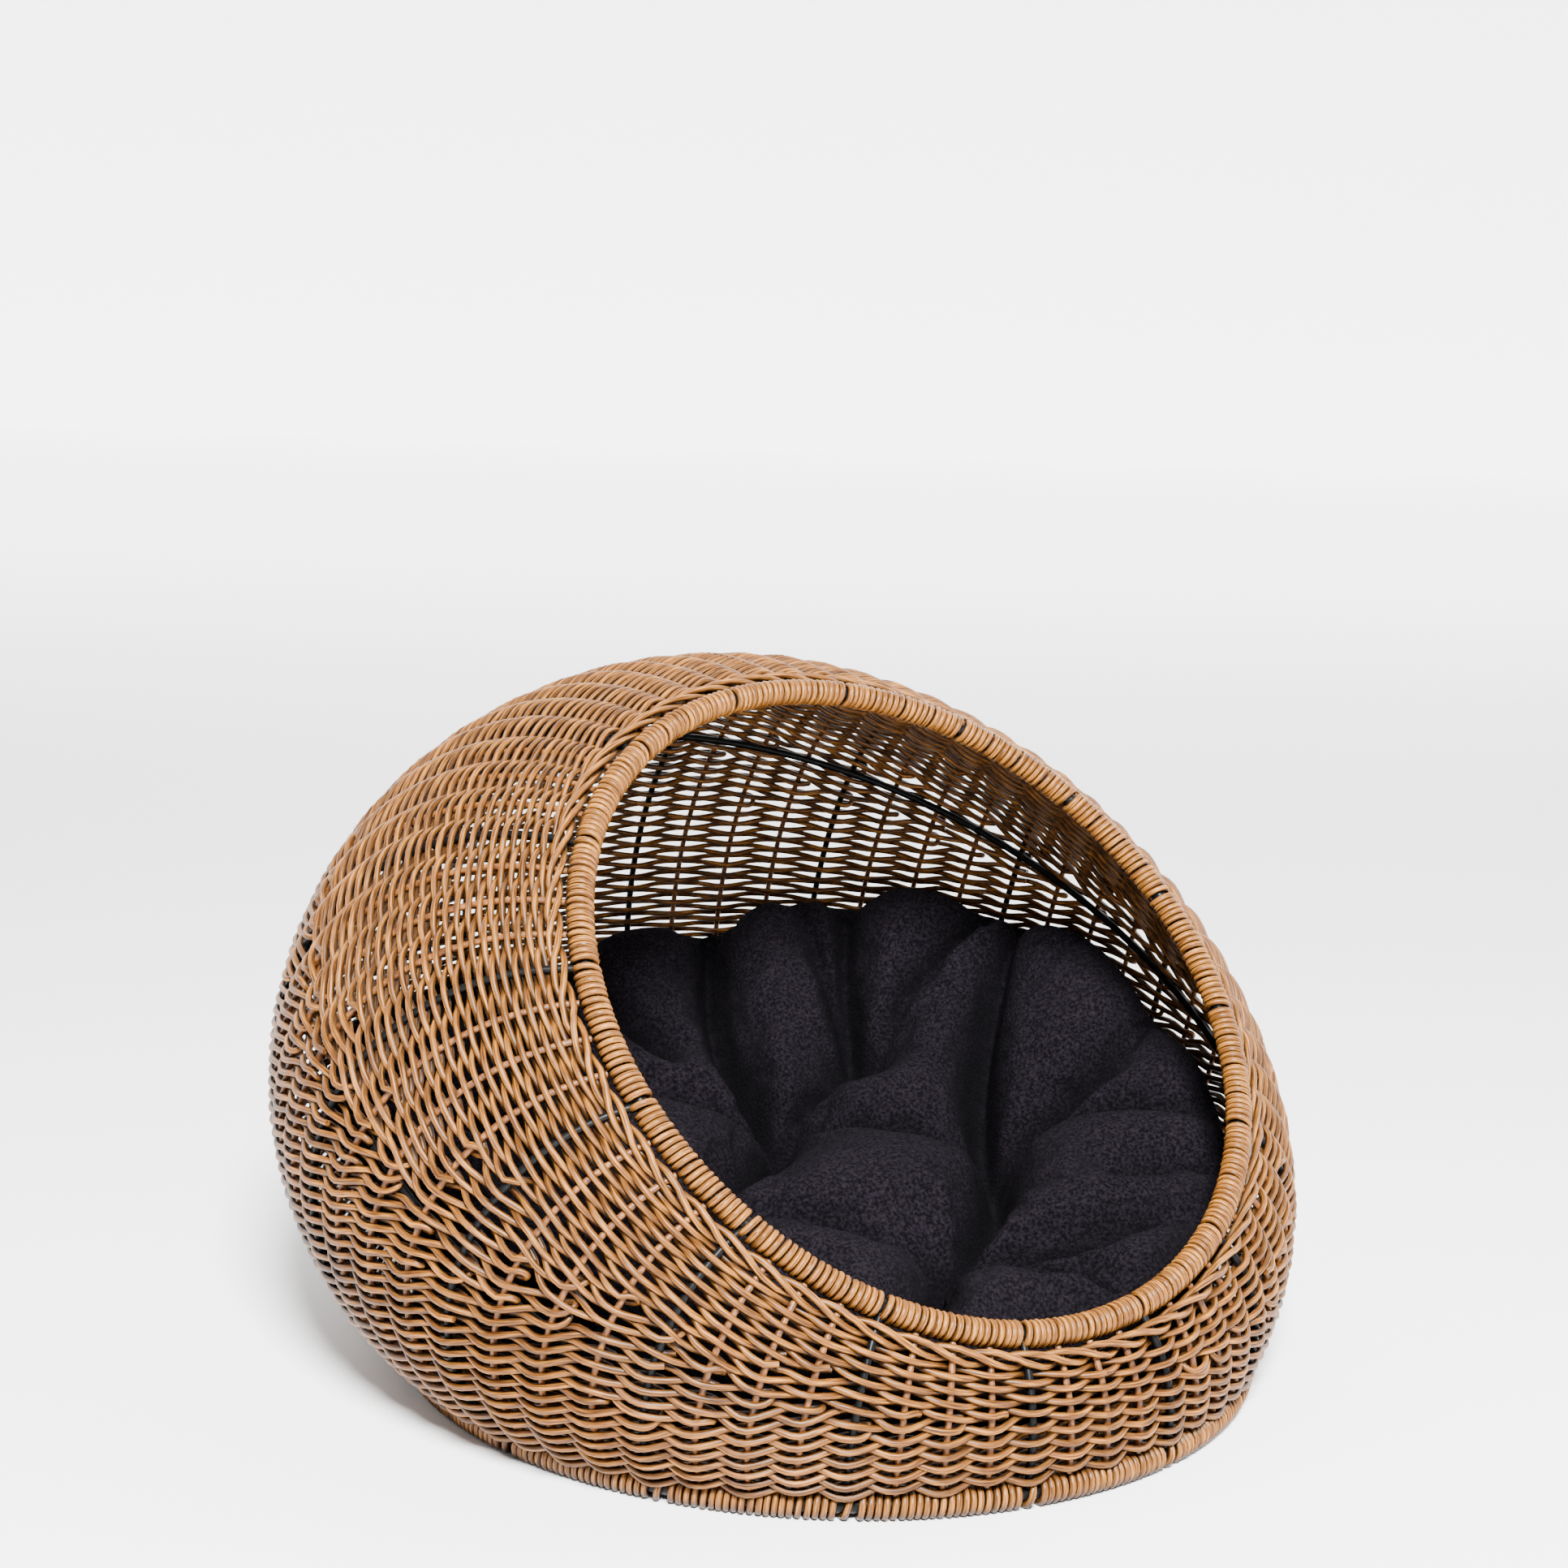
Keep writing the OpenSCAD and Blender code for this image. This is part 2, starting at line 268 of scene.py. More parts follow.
def short_pairs(side):
    """The rows that turn back before the front, in the pairs that share a U-turn."""
    rows = list(range(FULL_LOW, N_LOW + N_HIGH - FULL_HIGH))
    if side > 0:
        return list(zip(rows[0::2], rows[1::2]))
    return list(zip(rows[1:-1:2], rows[2::2])) + [(rows[0], rows[-1])]


def pair_to_drop(pairs, dropped, low, high, rng):
    """The next pair to turn back: from the zone with too many rows, mostly next to the seam."""
    held = [r for pair in pairs for r in pair]
    too_low = sum(r < N_LOW for r in held) + FULL_LOW - low
    too_high = sum(r >= N_LOW for r in held) + FULL_HIGH - high
    below = [pair for pair in pairs if pair[1] < N_LOW][::-1]
    above = [pair for pair in pairs if pair[0] >= N_LOW]
    pool = below if (too_low > too_high and below) or not above else above
    reach = rng.choice((0, 0, 0, 1, 1, 2, 3, 5))
    choice = pool[min(reach, len(pool) - 1)] if pool else pairs[-1]
    # neighbours turn back at different stakes while there are other pairs to take
    if any(abs(choice[0] - other[0]) <= 2 for other in dropped) and len(pool) > 3:
        choice = pool[3]
    return choice


def plan_side(side, rng):
    """Drops pairs of rows on the way from the back to the front, as the arcs get shorter.

    Returns the stake where each pair turns back and the rows there are at each stake."""
    pairs = short_pairs(side)
    ends, present = {}, {BACK: list(range(N_LOW + N_HIGH))}
    for m in range(1, BACK + 1):
        k, last = BACK + side * m, BACK + side * (m - 1)
        low, high = LOW_ROWS[k % STAKES], HIGH_ROWS[k % STAKES]
        keep = even(low + high) - FULL_LOW - FULL_HIGH if m < BACK else 0
        dropped = []
        while 2 * len(pairs) > max(keep, 0):
            choice = pair_to_drop(pairs, dropped, low, high, rng)
            dropped.append(choice)
            pairs.remove(choice)
            ends[choice] = last
        rows = [r for pair in pairs for r in pair] + list(range(FULL_LOW))
        rows += list(range(N_LOW + N_HIGH - FULL_HIGH, N_LOW + N_HIGH))
        present[k] = sorted(rows)
    return ends, present


def row_places(present, side):
    """Where each row crosses each stake, and half way on: length from the base, or from the
    rim for high rows. Half way on, the rows have mostly closed up over the ones that turn."""
    places = {}
    for k, rows in present.items():
        for r, s in places_at(k, rows).items():
            places[r, k] = s
    for m in range(BACK):
        k = BACK + side * m
        here, ahead = places_at(k, present[k]), places_at(k + side, present[k + side])
        closed = places_at(k + side / 2, present[k + side])
        for r in ahead:
            if r in here:
                straight = (here[r] + ahead[r]) / 2
                places[r, k + side / 2] = straight + CLOSING * (closed[r] - straight)
    return places


def places_at(k, rows):
    """Where these rows cross the stake k: low rows from the base ring, high ones from the rim."""
    length, pitch, back, more = (np.interp(k % STAKES, np.arange(STAKES + 1), np.append(v, v[0]))
                                 for v in (LENGTH, PITCH, TO_BACK, MORE_ROWS))
    low = [r for r in rows if r < N_LOW]
    high = [r for r in rows if r >= N_LOW][::-1]
    spare = length - 2 * WALL_FOOT - BORDER_W - (len(rows) - more) * pitch
    places = {}
    for family, start, spread, extra in ((low, WALL_FOOT, 0.0, 0.0),
                                         (high, WALL_FOOT + BORDER_W, SPREAD, more)):
        for i, r in enumerate(family):
            share = (i + 0.5) / len(family)
            even_share = share + spread * back * (share ** 2 - share)
            span = (len(family) - extra) * pitch
            places[r] = start + span * even_share + spare / 2 * share ** 2
    return places


def smooth_through(marks, values, u):
    """Smooth values at u through the values at the marks, without overshooting them."""
    if len(marks) < 2:
        return np.full(len(u), values[0])
    gap = np.diff(marks)
    slope = np.diff(values) / gap
    inner = np.where(slope[1:] * slope[:-1] > 0,
                     2 * slope[1:] * slope[:-1] / (slope[1:] + slope[:-1] + 1e-12), 0)
    m = np.concatenate([slope[:1], inner, slope[-1:]])
    i = np.clip(np.searchsorted(marks, u, "right") - 1, 0, len(gap) - 1)
    t = (u - marks[i]) / gap[i]
    return (values[i] * (1 + 2 * t) * (1 - t) ** 2 + m[i] * gap[i] * t * (1 - t) ** 2
            + values[i + 1] * t ** 2 * (3 - 2 * t) - m[i + 1] * gap[i] * t ** 2 * (1 - t))


def row_path(r, stakes, places, rng):
    """Stake numbers, lengths along the arcs and depths of row r past these stakes."""
    first, last = min(stakes), max(stakes)
    marks = sorted(k for row, k in places if row == r and first <= k <= last)
    line = np.array([places[r, k] for k in marks]) + [rng.gauss(0, ROW_WANDER) for _ in marks]
    u = np.linspace(stakes[0], stakes[-1], (last - first) * ROW_SAMPLES + 1)
    s = smooth_through(np.array(marks), line, u)
    wave = np.cos(math.pi * (u - r))
    back = ((1 - np.cos(u * STEP)) / 2) ** 2
    if r < N_LOW:
        bow = -LOW_SMILE * (1 - 0.95 * back)
    else:
        bow = HIGH_SMILE * (1 - back) + back * np.interp(s, *BACK_BOW)
    depth = pass_depth(u) * wave * (1 + STRAND_WANDER * rng.gauss(0, 1))
    return u, s + bow * wave, depth


def turn_path(u0, way, ends, depths):
    """A U-turn round the stake u0, between two rows' ends: lengths from the base, and depths."""
    stakes = wall(np.array((u0, u0 + 1.0)), np.array((ends[0], ends[0])), np.zeros(2))[0]
    width = TURN_REACH / np.linalg.norm(np.diff(stakes, axis=0))
    t = np.linspace(0, math.pi, TURN_SAMPLES)[1:-1]
    mix = (1 - np.cos(t)) / 2
    swell = TURN_SWELL * np.sin(t) * np.cos(t) * np.sign(ends[1] - ends[0])
    return (u0 + way * width * np.sin(t) ** 0.8,
            ends[0] + (ends[1] - ends[0]) * mix - swell,
            depths[0] + (depths[1] - depths[0]) * mix)


def rim_lengths(u, s):
    return arcs(u)[4] - s


def hairpin(pair, end, side, places, rng):
    """Two rows from the back to the stake `end`, joined there by a U-turn or cut off."""
    stakes = list(range(BACK, end + side, side))
    paths = []
    for r in pair:
        u, s, depth = row_path(r, stakes, places, rng)
        s = rim_lengths(u, s) if r >= N_LOW else s
        paths.append((u, s, depth))
    if rng.random() < CUT_SHARE:
        cut = []
        for u, s, depth in paths:
            cut.append((np.append(u, u[-1] + side * TAIL_REACH), np.append(s, [s[-1]] * 2),
                        np.append(depth, depth[-1] * TAIL_DEPTH)))
        return cut
    a, b = paths
    turn = turn_path(float(end), side, (a[1][-1], b[1][-1]), (a[2][-1], b[2][-1]))
    return [tuple(np.concatenate([a[i], turn[i], b[i][::-1]]) for i in range(3))]


def weave_tubes():
    """Every strand of the wall's two zones as (points, guide, closed)."""
    rng = random.Random(7)
    low, high = [], []
    full = {}
    for side in (1, -1):
        ends, present = plan_side(side, rng)
        places = row_places(present, side)
        # the long rows start and end at the front stake, which is both number 0 and STAKES
        full.update({(r, k % STAKES): v for (r, k), v in places.items()})
        full.update({(r, STAKES): v for (r, k), v in places.items() if k % STAKES == 0})
        for pair in sorted(ends):
            if ends[pair] == BACK:
                continue
            for u, s, depth in hairpin(pair, ends[pair], side, places, rng):
                points, along = wall(u, s, depth)
                (low if pair[0] < N_LOW else high).append((points, along, False))
    for r in list(range(FULL_LOW)) + list(range(N_LOW + N_HIGH - FULL_HIGH, N_LOW + N_HIGH)):
        u, s, depth = row_path(r, [0, STAKES], full, rng)
        points, along = wall(u, s, depth, from_rim=r >= N_LOW)
        (low if r < N_LOW else high).append((points[:-1], along[:-1], True))
    return low, high


# ---- Tubes ----


def tube_rings(points, guide, closed, radius, sides):
    """Rings of points round a path. The guide is a direction that the path never takes."""
    if closed:
        tangent = unit(np.roll(points, -1, 0) - np.roll(points, 1, 0))
    else:
        tangent = unit(np.gradient(points, axis=0))
    first = unit(guide - dot(guide, tangent) * tangent)
    second = np.cross(tangent, first)
    t = np.arange(sides) * 2 * math.pi / sides
    ring = np.cos(t)[None, :, None] * first[:, None] + np.sin(t)[None, :, None] * second[:, None]
    return points[:, None] + np.reshape(radius, (-1, 1, 1)) * ring


def tubes_object(name, tubes, material, radius=STRAND_R, sides=TUBE_SIDES, seed=1):
    """One mesh of many tubes, each (points, guide, closed), with the strand's own
    coordinates in the attributes `grain` and `tint` for its material."""
    rng = random.Random(seed)
    verts, quads, caps, grain, tint = [], [], [], [], []
    base = 0
    turn = np.arange(sides) * 2 * math.pi / sides
    for points, guide, closed in tubes:
        n = len(points)
        own_radius = radius * (1 + STRAND_WANDER * rng.gauss(0, 1))
        rings = tube_rings(points, guide, closed, own_radius, sides)
        ahead = np.concatenate([[0], np.cumsum(np.linalg.norm(np.diff(points, axis=0), axis=1))])
        shade, start = rng.random(), rng.random() * 40
        own = np.empty((n, sides, 3))
        own[..., 0] = (ahead + start)[:, None]
        own[..., 1] = radius * np.cos(turn)
        own[..., 2] = radius * np.sin(turn) + start
        i = np.arange(n if closed else n - 1)[:, None]
        j = np.arange(sides)[None, :]
        i2, j2 = (i + 1) % n, (j + 1) % sides
        corner = [base + i * sides + j, base + i * sides + j2,
                  base + i2 * sides + j2, base + i2 * sides + j]
        quads.append(np.stack(corner, -1).reshape(-1, 4))
        verts.append(rings.reshape(-1, 3))
        grain.append(own.reshape(-1, 3))
        base += n * sides
        if not closed:
            for ring, coords, order in ((rings[0], own[0], -1), (rings[-1], own[-1], 1)):
                verts.append(ring)
                grain.append(coords)
                caps.append((base + np.arange(sides))[::order])
                base += sides
        tint.append(np.full(n * sides + (0 if closed else 2 * sides), shade))
    return mesh_object(name, np.concatenate(verts), np.concatenate(quads), caps, material,
                       np.concatenate(grain), np.concatenate(tint))


def mesh_object(name, verts, quads, caps, material, grain=None, tint=None):
    mesh = bpy.data.meshes.new(name)
    loops = np.concatenate([np.ravel(quads)] + [np.ravel(c) for c in caps]).astype(np.int32)
    sizes = np.array([4] * len(quads) + [len(c) for c in caps], np.int32)
    mesh.vertices.add(len(verts))
    mesh.vertices.foreach_set("co", np.ravel(verts).astype(np.float32))
    mesh.loops.add(len(loops))
    mesh.loops.foreach_set("vertex_index", loops)
    mesh.polygons.add(len(sizes))
    mesh.polygons.foreach_set("loop_start", np.concatenate([[0], np.cumsum(sizes)[:-1]]))
    mesh.polygons.foreach_set("use_smooth", np.ones(len(sizes), bool))
    mesh.update(calc_edges=True)
    mesh.validate()
    if grain is not None:
        mesh.attributes.new("grain", "FLOAT_VECTOR", "POINT").data.foreach_set(
            "vector", np.ravel(grain).astype(np.float32))
        mesh.attributes.new("tint", "FLOAT", "POINT").data.foreach_set(
            "value", tint.astype(np.float32))
    mesh.materials.append(material)
    piece = bpy.data.objects.new(name, mesh)
    bpy.context.scene.collection.objects.link(piece)
    return piece


def add_tubes(name, tubes, material, slot, node, **options):
    """Adds tubes as one or more pieces that ride on the basket and stand for a node."""
    parts, count = [[]], 0
    for tube in tubes:
        if count + len(tube[0]) > PIECE_TUBES:
            parts.append([])
            count = 0
        parts[-1].append(tube)
        count += len(tube[0])
    for i, part in enumerate(parts):
        label = name if len(parts) == 1 else f"{name}_{i + 1}"
        piece = tubes_object(label, part, material, seed=i + 1, **options)
        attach(piece, "basket")
        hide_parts(node)


# ---- Wrapped rings and the twisted border ----


def wrap_tube(centre, r, lean, rib_gap, flat_floor=False):
    """One strand wound round a ring's rod, with a gap at each rib and a notch at each stake."""
    helix_r = ROD_R + STRAND_R
    spacing = r * STEP
    rng = random.Random(11)
    marks = []
    for k in range(STAKES):
        lead = rib_gap / 2 if k % STAKES_PER_BAY == FIRST_RIB else NOTCH / 2
        tail = rib_gap / 2 if (k + 1) % STAKES_PER_BAY == FIRST_RIB else NOTCH / 2
        width = spacing - lead - tail
        n = round(width / TURN_PITCH)
        marks += [k * spacing + lead + (i + 0.5) * width / n + rng.gauss(0, WRAP_WANDER)
                  for i in range(n)]
    turns = np.arange(len(marks) * WRAP_SAMPLES) / WRAP_SAMPLES
    a = np.interp(turns, np.arange(-1, len(marks) + 1) + 0.5,
                  [marks[-1] - STAKES * spacing] + marks + [marks[0] + STAKES * spacing]) / r
    out = hoop(a, np.zeros(3), 1.0, lean)
    axis = np.array((0.0, -math.sin(lean), math.cos(lean)))
    t = (turns * 2 * math.pi)[:, None]
    wobble = 1 + 0.02 * np.sin(turns * 2.399)[:, None]
    points = centre + r * out + helix_r * wobble * (np.cos(t) * out + np.sin(t) * axis)
    if flat_floor:
        points[:, 2] = np.maximum(points[:, 2], STRAND_R)
    return points, np.cross(axis, out), True


def border_tube():
    """One long strand that goes three times round, outside two stakes and inside one."""
    rng = random.Random(3)
    period = 3
    u = np.arange(STAKES * period * ROW_SAMPLES) / ROW_SAMPLES
    phase = u % period
    knots = np.arange(2 * period + 1) / 2
    depth = np.interp(phase, knots, BORDER_DEPTH)
    reach = np.interp(phase, knots, BORDER_REACH)
    kernel = np.array((1, 2, 1)) / 4
    depth = np.convolve(np.r_[depth[-1], depth, depth[0]], kernel, "valid")
    reach = np.convolve(np.r_[reach[-1], reach, reach[0]], kernel, "valid")
    reach += np.array([rng.gauss(0, BORDER_WANDER) for _ in u])
    points, along = wall(u, reach, depth, from_rim=True)
    return points, along, True


def floor_tubes():
    """The woven floor: straight stakes across, and rows over and under them."""
    low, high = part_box("floor_weave")
    r = (high.x - low.x) / 2 - STRAND_R
    cx, cy, cz = (low + high) / 2
    tubes = []
    n = int(r / FLOOR_SPACING)
    for i in range(-n, n + 1):
        x = i * FLOOR_SPACING
        half = math.sqrt(r * r - x * x)
        y = np.linspace(-half, half, 9)
        points = np.stack([np.full(9, cx + x), cy + y, np.full(9, cz)], -1)
        tubes.append((points, np.tile((0.0, 0.0, 1.0), (9, 1)), False))
    m = int(r / FLOOR_PITCH)
    for j in range(-m + 1, m):
        y = j * FLOOR_PITCH
        half = math.sqrt(r * r - y * y)
        count = max(3, int(2 * half / FLOOR_SPACING * 4))
        x = np.linspace(-half, half, count)
        z = cz + FLOOR_WAVE * np.cos(math.pi * (x / FLOOR_SPACING + j))
        points = np.stack([cx + x, np.full(count, cy + y), z], -1)
        tubes.append((points, np.tile((0.0, 1.0, 0.0), (count, 1)), False))
    return tubes


# ---- Cushion ----


def around(values, a):
    """A smooth value at angles a from values given at even steps round the circle."""
    n = len(values)
    x = np.asarray(a) / (2 * math.pi) * n
    i = np.floor(x).astype(int)
    t = x - i
    p0, p1, p2, p3 = (np.take(values, (i + j) % n) for j in (-1, 0, 1, 2))
    return p1 + 0.5 * t * (p2 - p0 + t * (2 * p0 - 5 * p1 + 4 * p2 - p3
                                          + t * (3 * (p1 - p2) + p3 - p0)))


def cushion_crest(a):
    """Middle of the cushion's rolled edge at angles a: distance out from the middle, and height."""
    z = around(EDGE_TOP, a) - CUSHION_ROUND
    out = []
    for angle, height in zip(a, z):
        u = np.full(80, angle / STEP)
        points = wall(u, np.linspace(0.01, 0.30, 80), np.zeros(80))[0] - BASE_C
        rises = points[:, 2] + BASE_C[2]
        i = np.argmax(rises > height)
        t = (height - rises[i - 1]) / (rises[i] - rises[i - 1])
        p = points[i - 1] + t * (points[i] - points[i - 1])
        set_back = MOUTH_CLEAR * (1 + math.cos(angle)) / 2
        out.append(math.hypot(p[0], p[1]) - CUSHION_ROUND - WALL_CLEAR - set_back)
    return np.array(out), z


def crease_lines(a, out):
    """The creases as (points, depth at the start, depth at the end, width)."""
    def edge(degrees, part=1.0):
        reach = part * np.interp(math.radians(degrees % 360), a, out)
        t = math.radians(degrees)
        return BASE_C[:2] + reach * np.array((math.sin(t), -math.cos(t)))

    lines = []
    for start, degrees, bend, deep, shallow, width in EDGE_CREASES:
        p, q = TUFTS[start], edge(degrees)
        lines.append((bent(p, q, bend), deep, shallow, width))
    for start, end, bend, deep, shallow, width in TUFT_CREASES:
        lines.append((bent(TUFTS[start], TUFTS[end], bend), deep, shallow, width))
    for from_deg, from_part, to_deg, bend, deep, shallow, width in LOOSE_CREASES:
        p, q = edge(from_deg, from_part), edge(to_deg)
        lines.append((bent(p, q, bend), deep, shallow, width))
    return lines


def bent(p, q, bend):
    """Nine points from p to q on a curve that stands `bend` of its length off the straight line."""
    t = np.linspace(0, 1, 9)[:, None]
    side = np.array((p[1] - q[1], q[0] - p[0]))
    return p + (q - p) * t + side * bend * 4 * t * (1 - t)


def crease_depth(x, y, lines, tufts=TUFT_WIDTH):
    """How deep the creases and tufts pull the top in at each (x, y), and how far off they are."""
    deep = np.zeros(x.shape)
    far = np.full(x.shape, 1.0)
    for points, start, end, width in lines:
        for i in range(len(points) - 1):
            p, q = points[i], points[i + 1]
            d = q - p
            t = np.clip(((x - p[0]) * d[0] + (y - p[1]) * d[1]) / (d @ d), 0, 1)
            gap = np.hypot(x - p[0] - t * d[0], y - p[1] - t * d[1])
            part = (i + t) / (len(points) - 1)
            depth = CREASE_GAIN * (start + (end - start) * part)
            deep = np.maximum(deep, depth * np.exp(-(gap / width) ** 1.15))
            far = np.minimum(far, gap + 0.03 * (1 - depth / 0.03).clip(0, 1) ** 2)
    for tx, ty in TUFTS:
        gap = np.hypot(x - tx, y - ty)
        deep = np.maximum(deep, TUFT_DEPTH * np.exp(-(gap / tufts) ** 1.1))
        far = np.minimum(far, gap)
    return deep, far


def smooth_rows(a, out, z):
    """Rows of points round the cushion without creases: over the top, the edge, underneath."""
    way = np.stack([np.sin(a), -np.cos(a)], -1)
    foot = FOOT_R - MOUTH_CLEAR * (1 + np.cos(a)) / 2
    foot_z = CUSHION_LOW + CUSHION_ROUND
    inner = out + CUSHION_ROUND * math.cos(EDGE_START)
    shoulder = z + CUSHION_ROUND * math.sin(EDGE_START)
    rows = []
    for i in range(1, TOP_ROWS + 1):
        part = i / TOP_ROWS
        rows.append((part * inner, CUSHION_MID + (shoulder - CUSHION_MID) * part ** 2.6))
    for i in range(1, EDGE_ROWS + 1):
        turn = EDGE_START - (EDGE_START + math.pi / 2) * i / EDGE_ROWS
        mix = min(max((0.9 - turn) / 1.5, 0), 1)
        mix = mix * mix * (3 - 2 * mix)
        rows.append((out * (1 - mix) + foot * mix + CUSHION_ROUND * math.cos(turn),
                     z * (1 - mix) + foot_z * mix + CUSHION_ROUND * math.sin(turn)))
    for i in range(1, UNDER_ROWS):
        rows.append((foot * (1 - i / UNDER_ROWS), np.full(len(a), CUSHION_LOW)))
    return np.array([np.column_stack([BASE_C[:2] + r[:, None] * way, height]) for r, height in rows])


def draw_in(points, a, lines):
    """Pulls the top down and the edge in along the creases, and swells the top between them."""
    deep, far = crease_depth(points[..., 0], points[..., 1], lines)
    puff = PUFF * (1 - np.exp(-far / 0.028))
    row = np.arange(len(points))
    on_top = np.clip((TOP_ROWS + EDGE_ROWS * 0.45 - row) / (EDGE_ROWS * 0.35), 0, 1)[:, None]
    off_side = np.abs(row - TOP_ROWS - EDGE_ROWS * 0.35) / (EDGE_ROWS * 0.5)
    on_side = np.clip(1 - off_side, 0, 1)[:, None]
    points[..., 2] += on_top * (puff - deep)
    pull = on_side * deep * 0.7
    points[..., :2] -= pull[..., None] * np.stack([np.sin(a), -np.cos(a)], -1)


def cushion_start():
    """The cushion before the cloth simulation: vertices, quads, end triangles and crease lines."""
    a = np.arange(CUSHION_TURNS) * 2 * math.pi / CUSHION_TURNS
    out, z = cushion_crest(a)
    lines = crease_lines(np.append(a, 2 * math.pi), np.append(out, out[0]))
    points = smooth_rows(a, out, z)
    draw_in(points, a, lines)
    middle_top = (BASE_C[0], BASE_C[1], points[0, :, 2].mean())
    middle_low = (BASE_C[0], BASE_C[1], CUSHION_LOW)
    verts = np.concatenate([points.reshape(-1, 3), [middle_top, middle_low]])
    i = np.arange(len(points) - 1)[:, None] * CUSHION_TURNS
    j = np.arange(CUSHION_TURNS)[None, :]
    j2 = (j + 1) % CUSHION_TURNS
    quads = np.stack([i + j, i + CUSHION_TURNS + j, i + CUSHION_TURNS + j2, i + j2], -1).reshape(-1, 4)
    top, low = len(verts) - 2, len(verts) - 1
    last = (len(points) - 1) * CUSHION_TURNS
    caps = []
    for k in range(CUSHION_TURNS):
        caps.append((top, k, (k + 1) % CUSHION_TURNS))
    for k in range(CUSHION_TURNS):
        caps.append((low, last + (k + 1) % CUSHION_TURNS, last + k))
    return verts, quads, caps, lines


def run_modifiers(piece):
    """Applies all of a piece's modifiers to its mesh."""
    graph = bpy.context.evaluated_depsgraph_get()
    mesh = bpy.data.meshes.new_from_object(piece.evaluated_get(graph))
    old = piece.data
    piece.modifiers.clear()
    piece.data = mesh
    bpy.data.meshes.remove(old)


def mesh_points(mesh):
    points = np.empty(len(mesh.vertices) * 3, np.float32)
    mesh.vertices.foreach_get("co", points)
    return points.reshape(-1, 3).astype(float)


def simulate(piece, lines):
    """Blows the cushion up as cloth that its ties and deep creases hold down."""
    start = mesh_points(piece.data)
    deep = crease_depth(start[:, 0], start[:, 1], lines)[0]
    on_top = start[:, 2] > CUSHION_LOW + 0.035
    hold = np.clip(1.25 * deep / TUFT_DEPTH, 0, 1) ** 1.2 * on_top
    hold = np.maximum(hold, (start[:, 2] < CUSHION_LOW + 0.004).astype(float))
    group = piece.vertex_groups.new(name="hold")
    steps = 20
    levels = np.round(hold * steps).astype(int)
    for level in range(1, steps + 1):
        members = np.nonzero(levels == level)[0]
        if len(members):
            group.add(members.tolist(), level / steps, "REPLACE")
    cloth = piece.modifiers.new("cloth", "CLOTH")
    cloth.settings.vertex_group_mass = "hold"
    cloth.settings.pin_stiffness = 1.0
    cloth.settings.quality = 5
    cloth.settings.mass = 0.25
    cloth.settings.tension_stiffness = 12
    cloth.settings.compression_stiffness = 12
    cloth.settings.shear_stiffness = 4
    cloth.settings.bending_stiffness = 0.25
    cloth.settings.shrink_min = -0.07
    cloth.settings.use_pressure = True
    cloth.settings.uniform_pressure_force = 4
    cloth.settings.effector_weights.gravity = 0
    cloth.collision_settings.use_collision = False
    cloth.collision_settings.use_self_collision = False
    scene = bpy.context.scene
    for number in range(1, CLOTH_FRAMES + 1):
        scene.frame_set(number)
    run_modifiers(piece)
    scene.frame_set(1)
    points = mesh_points(piece.data)
    move = points - start
    length = np.linalg.norm(move, axis=1, keepdims=True)
    points = start + move * np.minimum(1, CLOTH_REACH / np.maximum(length, 1e-9))
    piece.data.vertices.foreach_set("co", points.astype(np.float32).ravel())


def carve(piece, lines):
    """Draws the creases' bottoms in to a sharp line, as where cloth folds against itself."""
    points = mesh_points(piece.data)
    normals = np.empty(len(points) * 3, np.float32)
    piece.data.vertices.foreach_get("normal", normals)
    # the way the cushion's top faces: up in the middle, and inward too near the edge
    away = points[:, :2] - BASE_C[:2]
    reach = np.linalg.norm(away, axis=1, keepdims=True)
    tilt = math.radians(55) * np.clip((reach - 0.10) / 0.09, 0, 1)
    faces = np.hstack([-away / np.maximum(reach, 1e-6) * np.sin(tilt), np.cos(tilt)])
    upward = np.clip(5 * dot(faces, normals.reshape(-1, 3)) + 1, 0, 1)
    sharp = [(line, start, end, CARVE_WIDTH) for line, start, end, _width in lines]
    deep = crease_depth(points[:, 0], points[:, 1], sharp, tufts=CARVE_TUFT)[0]
    points -= CARVE * upward * faces * np.clip(deep / 0.030, 0, 1)[:, None] ** 0.7
    piece.data.vertices.foreach_set("co", points.astype(np.float32).ravel())
    piece.data.update()


def wall_tree():
    """The wall's middle surface, for finding its nearest point."""
    u = np.linspace(0, STAKES, 2 * STAKES + 1)
    length = arcs(u)[4]
    grid = np.array([wall(u, length * part, np.zeros(len(u)))[0] for part in np.linspace(0, 1, 60)])
    n, m = grid.shape[:2]
    faces = [(i * m + j, i * m + j + 1, (i + 1) * m + j + 1, (i + 1) * m + j)
             for i in range(n - 1) for j in range(m - 1)]
    return BVHTree.FromPolygons([Vector(p) for p in grid.reshape(-1, 3)], faces)


def from_rim(place):
    """The way from the rim ring's own circle to a place."""
    axis = np.array((0.0, -math.sin(RIM_LEAN), math.cos(RIM_LEAN)))
    t = place - RIM_C
    flat = t - axis * (t @ axis)
    return place - (RIM_C + flat / np.linalg.norm(flat) * RIM_R)


